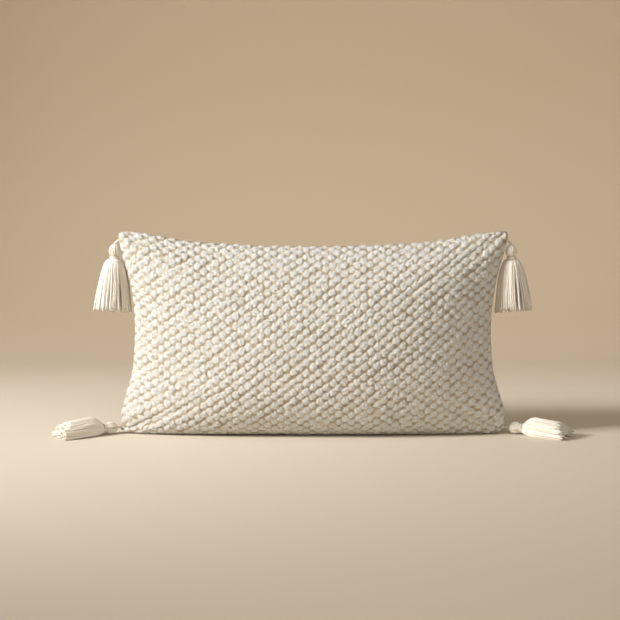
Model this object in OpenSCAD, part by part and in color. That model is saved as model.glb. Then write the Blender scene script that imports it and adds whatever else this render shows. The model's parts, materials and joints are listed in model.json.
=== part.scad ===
// Throw pillow: a knitted lumbar cover with a hidden zip, a stuffed insert and four corner tassels.
// It stands on its long bottom seam. X runs along the pillow, Y through it (front at -Y), Z up.
// The origin is on the ground under the middle of the pillow.

/* [Cover] */
// Length of the cover from corner to corner
cover_l = 604; // [480:1:760]
// Height of the cover at its corners
cover_h = 316; // [260:1:420]
// Thickness of the stuffed pillow
cover_t = 148; // [124:1:190]
// How far the sides pull in between their corners
side_dip = 30; // [10:1:36]
// How far the top seam pulls down between its corners
top_dip = 26; // [10:1:32]
// Half thickness of the pillow at its seams
rim_half = 10; // [9:0.5:14]
// Half depth of the flat that the pillow stands on
base_half = 36; // [28:1:46]
// Squareness of the corners
corner_n = 20; // [14:1:28]
// Height of the fullest level, from -1 at the base to 1 at the top
full_v = -0.25; // [-0.4:0.05:0]
// Thickness of the knitted cloth
knit_t = 4; // [3:0.2:4.8]

/* [Insert] */
// Clearance between cover and insert on the faces
face_gap = 0.4; // [0.3:0.1:0.6]
// Clearance between cover and insert along the seams
seam_gap = 3; // [2.8:0.1:4]
// How much further the insert's corners stay back from the cover's corners
corner_back = 13; // [11:1:20]
// Thickness of the insert's cloth
lining_t = 1; // [0.6:0.1:1.4]
// Clearance between the insert's cloth and its filling
fill_gap = 0.4; // [0.3:0.1:0.6]
// Thickness of the sewing thread run
thread_d = 1.6; // [1:0.1:2]

/* [Zip] */
// Length of the zip's coil
zip_l = 400; // [280:1:440]
// Width of each zip tape
tape_w = 12.8; // [9:0.2:18]
// Thickness of the zip tapes
tape_t = 0.6; // [0.4:0.1:0.8]
// Diameter of each row of coil
coil_d = 2.3; // [1.8:0.1:2.8]
// Half width of the slot between the two lips of the cover
lip_half = 1.6; // [1.2:0.1:2.2]
// Half width of the valley that hides the pull
valley_half = 4; // [3.8:0.1:6]
// Depth of the valley
valley_h = 2.9; // [2.9:0.1:3.4]
// Thickness of the slider's walls
slider_wall = 1; // [0.8:0.1:1.4]
// Length of the slider
slider_l = 10; // [8:0.5:14]
// Length of the pull tab from its pin
pull_l = 24; // [16:1:32]
// Diameter of the pull's pin
pin_d = 1.2; // [0.8:0.1:1.2]

/* [Tassels] */
// Diameter of the hanging cord
cord_d = 4; // [3:0.2:4.4]
// Diameter of the cord's knotted ends
cord_end_d = 5.2; // [5:0.1:6.3]
// Diameter of the knot inside each corner
knot_d = 8; // [7:0.2:9]
// Diameter of a tassel's head
head_d = 20; // [16:0.5:24]
// Height of a tassel's head
head_h = 19; // [16:0.5:24]
// Diameter of a tassel's neck
neck_d = 13; // [10:0.5:15]
// Height of the binding round the neck
bind_h = 3.2; // [2:0.2:5]
// Length of a hanging skirt
skirt_l = 86; // [60:1:110]
// Diameter of a hanging skirt at its end
skirt_d = 60; // [44:1:64]
// Length of a skirt that lies on the ground
lying_l = 74; // [50:1:90]
// Width of a lying skirt at its end
lying_w = 54; // [40:1:60]
// Height of a lying skirt
lying_h = 30; // [22:1:36]
// Angle of a lying tassel towards the front
lying_turn = 27; // [0:1:27]
// Lean of a hanging tassel away from the pillow
hang_lean = 3; // [2:0.5:8]
// Clearance between a cord's knotted end and its seat
seat_gap = 0.3; // [0.2:0.05:0.4]
// Clearance round a cord where it passes through the cover
hole_gap = 0.2; // [0.1:0.05:0.4]

/* [Hidden] */
$fn = 48;
knit_colour = "#ece5d6";
yarn_colour = "#efe8da";
lining_colour = "#f4f1ea";
fill_colour = "#fbfbf8";
tape_colour = "#e6dfcf";
metal_colour = "#b9b3a6";

CORNERS = ["top_left", "top_right", "bottom_left", "bottom_right"];
PIECES = ["knot", "cord", "yarns", "binding"];

// ---- the pillow's form -------------------------------------------------------------------
cols = 26;
rows = 16;
// grid lines gather a little towards the seams
function spread(t) = 0.5 * t + 0.5 * sin(90 * t);
us = [for (i = [0:cols]) spread(2 * i / cols - 1)];
vs = [for (j = [0:rows]) spread(2 * j / rows - 1)];
// pulls the corners of the square form in to a rounded square
function round_in(u, v) = let (m = max(abs(u), abs(v)))
    m == 0 ? 1 : pow(pow(abs(u) / m, corner_n) + pow(abs(v) / m, corner_n), -1 / corner_n);
function side_x(v) = cover_l / 2 - side_dip * (1 - v * v);
function top_z(u) = cover_h - top_dip * (1 - pow(abs(u), 2.5));
// how full the pillow is: along its length, and up its height
function full_along(u) = pow(max(0, 1 - pow(abs(u), 2.6)), 0.8);
base_share = (base_half - rim_half) / (cover_t / 2 - rim_half);
function full_up(v) = v > full_v
    ? pow(max(0, 1 - pow((v - full_v) / (1 - full_v), 2.2)), 0.75)
    : 1 - (1 - base_share) * pow((full_v - v) / (1 + full_v), 2.4);
function half_t(u, v) = rim_half + (cover_t / 2 - rim_half) * full_along(u) * full_up(v);
// a point on the form, set in by `edge` from the seams, `foot` from the ground, `face` from the
// faces and `back` from the corners
function form_xz(u, v, edge, foot, back) = let (k = round_in(u, v), ru = k * u, rv = k * v,
    c = back * pow(abs(u * v), 6), low = foot + c, high = top_z(ru) - edge - c)
    [ru * (side_x(rv) - edge - c), low + (rv + 1) / 2 * (high - low)];
function form_pt(u, v, s, set) = let (p = form_xz(u, v, set[0], set[1], set[3]))
    [p[0], s * (half_t(u, v) - set[2]), p[1]];
function seam_pt(u, v, set) = let (p = form_xz(u, v, set[0], set[1], set[3])) [p[0], 0, p[1]];
cells = [for (j = [0:rows - 1], i = [0:cols - 1]) [i, j]];
grid_count = (cols + 1) * (rows + 1);
function at(i, j) = j * (cols + 1) + i;
// the grid's outline, from the bottom left corner, anticlockwise as seen from the front
outline = concat([for (i = [0:cols - 1]) [i, 0]], [for (j = [0:rows - 1]) [cols, j]],
    [for (i = [cols:-1:1]) [i, rows]], [for (j = [rows:-1:1]) [0, j]]);
ring = len(outline);
function grid_pts(s, set) = [for (j = [0:rows], i = [0:cols]) form_pt(us[i], vs[j], s, set)];
function seam_pts(set) = [for (o = outline) seam_pt(us[o[0]], vs[o[1]], set)];
function turned(faces) = [for (f = faces) [f[2], f[1], f[0]]];
function shifted(faces, n) = [for (f = faces) [f[0] + n, f[1] + n, f[2] + n]];
face_tris = [for (c = cells, half = [0, 1]) let (i = c[0], j = c[1])
    half == 0 ? [at(i, j), at(i, j + 1), at(i + 1, j + 1)] : [at(i, j), at(i + 1, j + 1), at(i + 1, j)]];
// joins two loops of the same count: la and lb give the index of each loop's k-th point
function loop_tris(la, lb) = [for (k = [0:ring - 1], half = [0, 1]) let (n = (k + 1) % ring)
    half == 0 ? [la[k], la[n], lb[n]] : [la[k], lb[n], lb[k]]];
edge_loop = [for (o = outline) at(o[0], o[1])];
function run(start) = [for (k = [0:ring - 1]) start + k];

// one panel of cloth, front side: its outer skin, its inner skin and the cut edge on the seam plane
module panel(outer, inner) {
    n = grid_count + ring;
    skin = concat(face_tris, loop_tris(edge_loop, run(grid_count)));
    polyhedron(points = concat(grid_pts(-1, outer), seam_pts(outer), grid_pts(-1, inner), seam_pts(inner)),
        faces = concat(skin, shifted(turned(skin), n), loop_tris(run(grid_count), run(grid_count + n))),
        convexity = 8);
}
// [from the seams, from the ground, from the faces, from the corners]
cover_out = [0, 0, 0, 0];
cover_in = [knit_t, knit_t, knit_t, 0];
thread_gap = 0.5;                      // round the sewing thread's run
slider_gap = 0.3;                      // round everything the slider passes
tape_lift = 0.05;                      // the cloth rises a little along the zip
plate_z = knit_t + tape_lift + tape_t + coil_d + slider_gap;
insert_foot = plate_z + slider_wall + 2 * slider_gap;
insert_out = [knit_t + seam_gap, insert_foot, knit_t + face_gap, corner_back];
thread_set = thread_d / 2 + thread_gap;
function set_in(set, d) = [set[0] + d, set[1] + d, set[2] + d, set[3]];
insert_in = set_in(insert_out, lining_t);
fill_out = [insert_in[0] + thread_d + 2 * thread_gap, insert_in[1] + thread_d + 2 * thread_gap,
    insert_in[2] + fill_gap, corner_back];

// a thread run that follows the seam just inside a panel's cut edges, between two outline points
module thread_run(set, first, last) {
    sides = 8;
    count = last - first + 1;
    loop = seam_pts(set);
    pts = [for (k = [first:last]) let (p = loop[k % ring], q = loop[(k + 1) % ring],
        o = loop[(k + ring - 1) % ring], d = (q - o) / norm(q - o), in = [-d[2], 0, d[0]])
        for (s = [0:sides - 1]) p + thread_d / 2 * (cos(360 * s / sides) * in
            + sin(360 * s / sides) * [0, 1, 0])];
    sleeve = [for (k = [0:count - 2], s = [0:sides - 1], half = [0, 1])
        let (n = (s + 1) % sides, a = k * sides, b = a + sides)
        half == 0 ? [a + s, a + n, b + n] : [a + s, b + n, b + s]];
    cap = [for (s = [1:sides - 2]) [0, s + 1, s]];
    last_ring = (count - 1) * sides;
    far = [for (s = [1:sides - 2]) [last_ring, last_ring + s, last_ring + s + 1]];
    polyhedron(points = pts, faces = concat(sleeve, cap, far), convexity = 6);
}
// the runs stop short of the corners, where the tassels' knots sit; the zip takes the cover's foot
corner_skip = 2;
module seam_thread(set, foot) {
    ends = [0, cols, cols + rows, 2 * cols + rows, ring];
    for (k = [foot ? 0 : 1:3]) thread_run(set, ends[k] + corner_skip, ends[k + 1] - corner_skip);
}

// ---- the zip in the bottom seam ----------------------------------------------------------
coil_gap = 0.95;                       // from the seam plane to each row of coil
tape_z = knit_t + tape_lift;
coil_z = tape_z + tape_t + coil_d / 2;
coil_y = coil_gap + coil_d / 2;
stop_l = 3;
tape_over = 10;                        // tape beyond each end of the coil
slot_l = zip_l + 2 * stop_l + 6;
slider_x = zip_l / 2 - slider_l / 2 - 1;
pull_z = 1.4;                          // height of the pull's pin
lug_half = 1.2;
ear_r = 1.1;
ear_t = 1.7;
pull_t = 1;
pull_half = lug_half + slider_gap + ear_t;
slider_w = 2 * (coil_gap + coil_d + slider_gap + slider_wall) + 0.1;
post_half = 0.6;
post_z = pull_z + ear_r - 0.3;         // the post grows out of the lug's top

module zip_valley() {
    translate([-slot_l / 2, -lip_half, -1]) cube([slot_l, 2 * lip_half, knit_t + 1.5]);
    translate([-slot_l / 2, -valley_half, -1]) cube([slot_l + pull_l, 2 * valley_half, valley_h + 1]);
}
module zip_tape() translate([-zip_l / 2 - tape_over, -coil_gap - tape_w, tape_z])
    cube([zip_l + 2 * tape_over, tape_w, tape_t]);
module zip_coil() translate([-zip_l / 2, -coil_y, coil_z]) rotate([0, 90, 0])
    cylinder(d = coil_d, h = zip_l);
module zip_stop() translate([0, -coil_y - coil_d / 2, tape_z + tape_t])
    cube([stop_l, 2 * coil_y + coil_d, coil_d]);
module slider_form() {
    translate([-slider_l / 2, -slider_w / 2, plate_z]) cube([slider_l, slider_w, slider_wall]);
    for (s = [-1, 1]) translate([-slider_l / 2, s > 0 ? slider_w / 2 - slider_wall : -slider_w / 2,
        tape_z + tape_t + slider_gap])
        cube([slider_l, slider_wall, plate_z - tape_z - tape_t - slider_gap + 0.1]);
    translate([-slider_l / 4, -post_half, post_z])
        cube([slider_l / 2, 2 * post_half, plate_z - post_z + 0.1]);
    translate([0, lug_half, pull_z]) rotate([90, 0, 0]) difference() {
        cylinder(r = ear_r, h = 2 * lug_half);
        translate([0, 0, -1]) cylinder(d = pin_d + 0.1, h = 2 * lug_half + 2);
    }
}
module pull_form() {
    for (s = [-1, 1]) translate([0, s > 0 ? pull_half : -lug_half - slider_gap, pull_z])
        rotate([90, 0, 0]) cylinder(r = ear_r, h = ear_t);
    translate([0, lug_half + slider_gap + 0.2, pull_z]) rotate([90, 0, 0])
        cylinder(d = pin_d, h = 2 * (lug_half + slider_gap + 0.2));
    for (s = [-1, 1]) translate([0, s > 0 ? lug_half + slider_gap : -pull_half,
        pull_z - pull_t / 2]) cube([ear_r + 2, ear_t, pull_t]);
    difference() {
        translate([ear_r + 0.6, 0, pull_z - pull_t / 2]) linear_extrude(pull_t) union() {
            translate([0, -pull_half]) square([pull_l - 5, 2 * pull_half]);
            translate([pull_l - 5, 0]) circle(r = pull_half);
        }
        translate([pull_l - 4, 0, -1]) cylinder(d = 3, h = pull_z + 3);
    }
}

// ---- the tassels -------------------------------------------------------------------------
// Each is made at its cord's pivot, hanging along -Z, then turned and set at its corner.
end_r = cord_end_d / 2;
seat_r = end_r + seat_gap;
// how far the cover's rounded corner stays back from a square one, along X and up Z
corner_x = cover_l / 2 * (1 - pow(2, -1 / corner_n));
corner_z = cover_h / 2 * (1 - pow(2, -1 / corner_n));
// from the cover's edge to the middle of a knot; a low knot lies further in, where there is room
knot_in = knit_t + knot_d / 2 + corner_x / 4;
low_knot_in = 1.4 * corner_x;
exit_out = 3.2;                        // from the cover's edge to the pivot
// the cover's edge where a cord comes out, on the left
top_exit_z = cover_h - corner_z - knit_t - knot_d / 2 - 5;
low_exit_z = knit_t + knot_d / 2 + 1.5;
function edge_x(z) = let (v = 2 * z / cover_h - 1) -side_x(v) * round_in(1, v);
function exit_z(low) = low ? low_exit_z : top_exit_z;
function pivot_x(low) = edge_x(exit_z(low)) - exit_out;
low_cord = 3.6;
top_cord = [-4.5, 0, -5];
// from the corner pivot to the head pivot
function cord_run(low) = low ? low_cord * [-cos(lying_turn), -sin(lying_turn), 0] : top_cord;
function is_low(corner) = corner == "bottom_left" || corner == "bottom_right";
function is_right(corner) = corner == "top_right" || corner == "bottom_right";
module at_corner(corner) mirror([is_right(corner) ? 1 : 0, 0, 0]) children();

module knot(low) {
    z = exit_z(low);
    x = pivot_x(low);
    far = edge_x(z) + knot_in + (low ? low_knot_in : 0);
    difference() {
        union() {
            translate([far, 0, z]) sphere(d = knot_d);
            translate([x, 0, z]) rotate([0, 90, 0]) cylinder(d = cord_d, h = far - x);
        }
        translate([x, 0, z]) sphere(r = seat_r);
    }
}
module cord_hole(low) translate([pivot_x(low) - 5, 0, exit_z(low)]) rotate([0, 90, 0])
    cylinder(d = cord_d + 2 * hole_gap, h = exit_out + 2 * knit_t + corner_x);
module cord(low) {
    a = [pivot_x(low), 0, exit_z(low)];
    d = cord_run(low);
    turn = [0, acos(d[2] / norm(d)), atan2(d[1], d[0])];
    translate(a) sphere(r = end_r);
    translate(a + d) sphere(r = end_r);
    translate(a) rotate(turn) cylinder(d = cord_d, h = norm(d));
}
// half outline of the head, from its seat to the neck
seat_drop = 1;
head_outline = [for (a = [30:15:135]) [head_d / 2 * sin(a), -head_h / 2 * (1 - cos(a)) - seat_drop]];
neck_z = -head_h - seat_drop;
skirt_z = neck_z - bind_h;
neck_r = neck_d / 2 - 0.6;             // the yarns under the binding
module head() rotate_extrude() polygon(concat(
    [[0, -seat_drop - head_h / 2 * (1 - cos(30))]], head_outline,
    [[neck_r, neck_z], [neck_r, skirt_z], [0, skirt_z]]));
steps = 9;
module hanging_skirt() rotate_extrude() polygon(concat([[0, skirt_z]],
    [for (k = [0:steps]) let (t = k / steps)
        [neck_r + (skirt_d / 2 - neck_r) * pow(t, 0.5), skirt_z - skirt_l * pow(t, 1.4)]],
    [[0, skirt_z - skirt_l - 2]]));
module binding_ring() translate([0, 0, skirt_z]) difference() {
    cylinder(d = neck_d + 1.6, h = bind_h);
    translate([0, 0, -1]) cylinder(d = neck_d - 1, h = bind_h + 2);
}
module seat() sphere(r = seat_r);
// puts a hanging tassel at its place: the pivot in its head on the end of its cord
module hung() translate([pivot_x(false), 0, top_exit_z] + cord_run(false))
    rotate([0, hang_lean, 0]) children();
module laid() translate([pivot_x(true), 0, low_exit_z] + cord_run(true))
    rotate([0, 0, lying_turn]) rotate([0, 90, 0]) children();
// a lying tassel is one run of rings: head, neck, then a flattened bell with its foot on the ground
low_head_r = low_exit_z - 0.1;
// each station is [distance from the pivot, half width, foot, top]
function round_station(x, r) = [x, r, low_exit_z - r, low_exit_z + r];
lying_stations = concat(
    [for (a = [30:20:150]) round_station(seat_drop + head_h / 2 - head_h / 2 * cos(a), low_head_r * sin(a))],
    [round_station(-neck_z, neck_r), round_station(-skirt_z, neck_r)],
    [for (k = [1:steps]) let (t = k / steps)
        [-skirt_z + lying_l * pow(t, 1.3), neck_r + (lying_w / 2 - neck_r) * pow(t, 0.5),
            max(0, (low_exit_z - neck_r) * (1 - 4 * t)),
            low_exit_z + neck_r + (lying_h - low_exit_z - neck_r) * pow(sin(90 * min(1, 1.5 * t)), 0.8)]]);
module lying_form() {
    sides = 20;
    ends = len(lying_stations);
    pts = [for (n = lying_stations, s = [0:sides - 1]) let (a = 360 * (s + 0.5) / sides)
        [-n[0], n[1] * sin(a), (n[2] + n[3]) / 2 + (n[3] - n[2]) / 2 * cos(a)]];
    sleeve = [for (k = [0:ends - 2], s = [0:sides - 1], half = [0, 1])
        let (n = (s + 1) % sides, a = k * sides, b = a + sides)
        half == 0 ? [a + s, b + n, a + n] : [a + s, b + s, b + n]];
    cap = [for (s = [1:sides - 2]) [0, s, s + 1]];
    last = (ends - 1) * sides;
    far = [for (s = [1:sides - 2]) [last, last + s + 1, last + s]];
    translate([pivot_x(true) + cord_run(true)[0], cord_run(true)[1], 0]) rotate([0, 0, lying_turn])
        polyhedron(points = pts, faces = concat(sleeve, cap, far), convexity = 4);
}

// ---- the sub-parts -----------------------------------------------------------------------
module cover_front() color(knit_colour) difference() {
    panel(cover_out, cover_in);
    zip_valley();
    for (c = CORNERS) at_corner(c) cord_hole(is_low(c));
}
module cover_back() color(knit_colour) mirror([0, 1, 0]) difference() {
    panel(cover_out, cover_in);
    zip_valley();
    for (c = CORNERS) at_corner(c) cord_hole(is_low(c));
}
module cover_seam_thread() color(yarn_colour) seam_thread(set_in(cover_in, thread_set), false);
module insert_front() color(lining_colour) panel(insert_out, insert_in);
module insert_back() color(lining_colour) mirror([0, 1, 0]) panel(insert_out, insert_in);
module insert_seam_thread() color(lining_colour) seam_thread(set_in(insert_in, thread_set), true);
module fibre_fill() color(fill_colour) polyhedron(
    points = concat(grid_pts(-1, fill_out), grid_pts(1, fill_out)),
    faces = concat(face_tris, shifted(turned(face_tris), grid_count),
        loop_tris(edge_loop, [for (e = edge_loop) e + grid_count])), convexity = 4);
module zipper_tape_front() color(tape_colour) zip_tape();
module zipper_tape_back() color(tape_colour) mirror([0, 1, 0]) zip_tape();
module zipper_coil_front() color(tape_colour) zip_coil();
module zipper_coil_back() color(tape_colour) mirror([0, 1, 0]) zip_coil();
module zipper_stop_left() color(metal_colour) translate([-zip_l / 2 - stop_l, 0, 0]) zip_stop();
module zipper_stop_right() color(metal_colour) translate([zip_l / 2, 0, 0]) zip_stop();
module zipper_slider() color(metal_colour) translate([slider_x, 0, 0]) slider_form();
module zipper_pull() color(metal_colour) translate([slider_x, 0, 0]) pull_form();
module tassel_knot(low) color(yarn_colour) knot(low);
module tassel_cord(low) color(yarn_colour) cord(low);
module tassel_yarns(low) color(yarn_colour) {
    if (low) difference() {
        lying_form();
        laid() seat();
    } else hung() difference() {
        union() {
            head();
            hanging_skirt();
        }
        seat();
    }
}
module tassel_binding(low) color(yarn_colour) {
    if (low) laid() binding_ring();
    else hung() binding_ring();
}
module tassel_piece(corner, piece) at_corner(corner) {
    low = is_low(corner);
    if (piece == "knot") tassel_knot(low);
    if (piece == "cord") tassel_cord(low);
    if (piece == "yarns") tassel_yarns(low);
    if (piece == "binding") tassel_binding(low);
}

cover_front();
cover_back();
cover_seam_thread();
insert_front();
insert_back();
insert_seam_thread();
fibre_fill();
zipper_tape_front();
zipper_tape_back();
zipper_coil_front();
zipper_coil_back();
zipper_stop_left();
zipper_stop_right();
zipper_slider();
zipper_pull();
for (c = CORNERS, p = PIECES)
    tassel_piece(c, p);
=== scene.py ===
import json
import math

import bpy
import numpy as np
from mathutils import Matrix, Vector


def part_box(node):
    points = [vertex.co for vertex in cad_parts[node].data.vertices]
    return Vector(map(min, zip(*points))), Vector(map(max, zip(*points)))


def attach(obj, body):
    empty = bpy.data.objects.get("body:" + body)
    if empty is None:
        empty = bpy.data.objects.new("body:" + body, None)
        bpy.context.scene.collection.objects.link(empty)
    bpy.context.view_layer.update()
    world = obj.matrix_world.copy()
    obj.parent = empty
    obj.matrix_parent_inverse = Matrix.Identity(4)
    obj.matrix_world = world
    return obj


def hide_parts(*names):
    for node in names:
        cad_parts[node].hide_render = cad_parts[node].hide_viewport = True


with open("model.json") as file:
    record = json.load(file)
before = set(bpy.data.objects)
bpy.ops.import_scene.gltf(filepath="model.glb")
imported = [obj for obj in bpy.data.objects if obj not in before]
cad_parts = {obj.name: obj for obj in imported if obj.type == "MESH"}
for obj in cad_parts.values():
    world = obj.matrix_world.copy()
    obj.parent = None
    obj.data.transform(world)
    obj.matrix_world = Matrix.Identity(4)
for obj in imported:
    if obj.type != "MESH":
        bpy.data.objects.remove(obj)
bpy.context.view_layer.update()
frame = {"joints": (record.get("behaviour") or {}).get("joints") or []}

MM = 0.001
bpy.ops.object.select_all(action="DESELECT")


# ---- Cover form -------------------------------------------------------------------------------
# The bag is two panels of thick knitted cloth, sewn right round. Its sides and its top pull in
# between the corners, the stuffing crowns its faces, and its long bottom edge is pressed flat.
corner_n = 20
side_dip = 30
top_dip = 26
top_curve = 2.5
nominal_l = 604
nominal_h = 316
rim_half = 10
base_half = 36
full_v = -0.25
crown_along = (2.6, 0.8)
crown_up = (2.2, 0.75)
crown_down = 2.4
cols = 84
rows = 50
edge_cells = 3
edge_round = 14
foot_cells = 5
foot_round = 22
foot_n = 2.6


def box_mm(node):
    """The low and the high corner of a CAD node's box, in mm."""
    return [np.array(corner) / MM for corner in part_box(node)]


bag_low, bag_high = box_mm("cover_front")
half_thick = -bag_low[1]


def edge_lines(cells, low, high, reach):
    """Places of a panel's grid lines from -1 to 1, and how far each line lifts off the seam plane.
    low and high are (cells, radius, squareness) of the round turn at each end."""
    place = np.zeros(cells + 1)
    lift = np.ones(cells + 1)
    flat = cells - low[0] - high[0]
    start = -1 + 2 * low[1] / reach
    end = 1 - 2 * high[1] / reach
    place[low[0]:cells + 1 - high[0]] = np.linspace(start, end, flat + 1)
    for side, (count, radius, n) in ((-1, low), (1, high)):
        for k in range(count):
            turn = math.pi / 2 * k / count
            at = k if side < 0 else cells - k
            place[at] = side * (1 - 2 * radius * (1 - math.cos(turn) ** (2 / n)) / reach)
            lift[at] = math.sin(turn) ** (2 / n)
    return place, lift


def rounded(u, v):
    """How much a point of the square form is drawn in, so that the corners are round."""
    m = np.maximum(np.maximum(abs(u), abs(v)), 1e-9)
    return ((abs(u) / m) ** corner_n + (abs(v) / m) ** corner_n) ** (-1 / corner_n)


def full_along(u):
    """How full the bag is along its length, from 0 at its sides to 1."""
    return np.maximum(0, 1 - abs(u) ** crown_along[0]) ** crown_along[1]


def full_up(v):
    """How full it is up its height: thickest low down, thin at the top, cut off at its foot."""
    base_share = (base_half - rim_half) / (half_thick - rim_half)
    rise = np.maximum(0, v - full_v) / (1 - full_v)
    drop = np.maximum(0, full_v - v) / (1 + full_v)
    above = np.maximum(0, 1 - rise ** crown_up[0]) ** crown_up[1]
    below = 1 - (1 - base_share) * drop ** crown_down
    return np.where(v > full_v, above, below)


round_edge = (edge_cells, edge_round, 2)
us, lift_u = edge_lines(cols, round_edge, round_edge, nominal_l)
vs, lift_v = edge_lines(rows, (foot_cells, foot_round, foot_n), round_edge, nominal_h)
u, v = np.meshgrid(us, vs)
drawn = rounded(u, v)
side_x = nominal_l / 2 - side_dip * (1 - (drawn * v) ** 2)
top_z = nominal_h - top_dip * (1 - abs(drawn * u) ** top_curve)
lift = lift_v[:, None] * lift_u[None, :]
bag = np.stack([drawn * u * side_x,
                -(rim_half + (half_thick - rim_half) * full_along(u) * full_up(v)) * lift,
                (drawn * v + 1) / 2 * top_z], axis=-1)
bag[..., 0] *= bag_high[0] / bag[..., 0].max()
bag[..., 2] *= bag_high[2] / bag[..., 2].max()

# both panels as one closed cage: they share the points of the seam
ring = np.zeros((rows + 1, cols + 1), bool)
ring[0], ring[-1], ring[:, 0], ring[:, -1] = True, True, True, True
front_at = np.arange((rows + 1) * (cols + 1)).reshape(rows + 1, cols + 1)
back_at = front_at.copy()
back_at[~ring] = front_at.size + np.arange((~ring).sum())


def quads(at, turned):
    """The faces of a grid of point numbers; turned ones face the other way."""
    a, b, c, d = at[:-1, :-1], at[:-1, 1:], at[1:, 1:], at[1:, :-1]
    order = (a, d, c, b) if turned else (a, b, c, d)
    return np.stack([x.ravel() for x in order], axis=1)


def grid_normals(points):
    """Unit normals of a grid whose rows go up and whose columns go to the right, facing -Y."""
    along = np.gradient(points, axis=1)
    up = np.gradient(points, axis=0)
    n = np.cross(along, up)
    return n / np.maximum(np.linalg.norm(n, axis=-1, keepdims=True), 1e-9)


cage_faces = np.concatenate([quads(front_at, False), quads(back_at, True)])


def cage_points(front, back):
    """Points of the cage from its two grids."""
    return np.concatenate([front.reshape(-1, 3), back[~ring]])


def swell(front, back, pinned):
    """Cloth simulation: the closed bag swells under pressure, held at its seam and its foot.
    Gives both grids back, moved by no more than swell_cap."""
    start = cage_points(front, back)
    mesh = bpy.data.meshes.new("bag_cage")
    mesh.from_pydata((start * MM).tolist(), [], cage_faces.tolist())
    cage = bpy.data.objects.new("bag_cage", mesh)
    bpy.context.scene.collection.objects.link(cage)
    held = cage.vertex_groups.new(name="held")
    for weight, at in pinned:
        held.add(at.tolist(), weight, "REPLACE")
    cloth = cage.modifiers.new("Cloth", "CLOTH")
    for setting, value in (("quality", 6), ("mass", 0.3), ("tension_stiffness", 12),
                           ("compression_stiffness", 12), ("shear_stiffness", 4),
                           ("bending_stiffness", 1.5), ("use_pressure", True),
                           ("uniform_pressure_force", swell_pressure),
                           ("vertex_group_mass", "held")):
        setattr(cloth.settings, setting, value)
    cloth.settings.effector_weights.gravity = 0
    cloth.collision_settings.use_collision = False
    cloth.point_cache.frame_end = swell_steps
    for step in range(1, swell_steps + 1):
        bpy.context.scene.frame_set(step)
    shaped = cage.evaluated_get(bpy.context.evaluated_depsgraph_get())
    co = np.zeros(len(start) * 3)
    shaped.data.vertices.foreach_get("co", co)
    moved = co.reshape(-1, 3) / MM - start
    far = np.linalg.norm(moved, axis=1, keepdims=True)
    moved *= np.minimum(1, swell_cap / np.maximum(far, 1e-9))
    bpy.context.scene.frame_set(1)
    bpy.data.objects.remove(cage)
    done = start + moved
    return done[front_at], done[back_at]


# the stuffing is lumpy, so the bag starts a little uneven; the knit stands out from its cloth
knit_h = 5.2
cloth_in = 4.6
cloth_fuller = 0.6
seam_in = 1.2
lump = 1.6
lump_waves = 14
start_slack = 0.06
swell_pressure = 4
swell_cap = 20
swell_steps = 20
foot_hold = 0.35
lumps = np.random.default_rng(11)


def unevenness():
    """A smooth uneven field over a panel, from -1 to 1."""
    field = np.zeros_like(u)
    for _ in range(lump_waves):
        across, up, phase, size = lumps.uniform((-9, -6, 0, 0.3), (9, 6, 6.3, 1))
        field += size * np.sin(across * u + up * v + phase)
    return field / abs(field).max()


mirror_y = np.array([1, -1, 1])
set_in = np.where(ring, seam_in, cloth_in)[..., None]
cloth_front = bag - set_in * grid_normals(bag)
cloth_front[ring, 1] = 0
cloth_back = cloth_front * mirror_y
for panel in (cloth_front, cloth_back):
    panel[..., 1] *= 1 - start_slack + start_slack * (1 - lift)
    panel[..., 1] += np.sign(panel[..., 1]) * lump * unevenness() * lift
low_rows = front_at[:3].ravel().tolist() + back_at[:3].ravel().tolist()
pins = [(foot_hold, np.array(low_rows)), (1.0, front_at[ring])]
cloth_front, cloth_back = swell(cloth_front, cloth_back, pins)
for panel in (cloth_front, cloth_back):
    panel[..., 1] *= (half_thick - cloth_in + cloth_fuller) / abs(panel[..., 1]).max()


# ---- Knitted panels ----------------------------------------------------------------------------
# Each panel is knitted in chunky cream cotton. Bobbles of two or three plies stand in staggered
# rows, nearly touching, and the thin ground knit sinks into pits between them, painted darker
# and warmer as shade.
yarn_cream = (0.915, 0.915, 0.895)
# painted shade: tan on the bobbles' lower sides (the same tan colours the fibre specks), and warm
# dark tan down in the pits
groove_shade_and_speck_tan = (0.83, 0.75, 0.60)
painted_pit_shade = (0.57, 0.44, 0.29)
bobble_dx = 19.4
bobble_dy = 7.45
bobble_r = 6.7
bobble_jitter = 0.7
bobble_lean = (0.79, 0.61)
bobble_long = 1.07
bobble_wide = 0.97
loops = 5
lobe_out = 3.7
lobe_half = 2.3
lobe_long = 4.3
dome_share = 0.42
lobe_share = 0.62
ground_share = 0.54
ground_rib = 0.3
# where the painted shade of the bobbles' sides sits on the height ramp
groove_shade_at = 0.65
cream_at = 0.86
pattern_n = 64
fine = 8
seam_fade = 5.0
slot_half = box_mm("zipper_coil_front")[1][0] + 12
valley_rise = 3.6
valley_high = 12
slot_fade = 14
slot_zone = 30
lip = 1.9
lip_reach = (2, 12)
side_ear = 1.5
low_ear = 5.0
low_ear_fade = (30, 110)
ear_reach = (0.75, 0.95)
high_ear = 2
high_ear_reach = 90
cord_dent = 3.2
cord_dent_low = (3, 11)
cord_dent_high = (25, 36)
top_ear = 4.0
top_ear_reach = (0.60, 0.92)
ply_twist = (3.6, 2.2)
lining_in = 2.2


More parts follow.
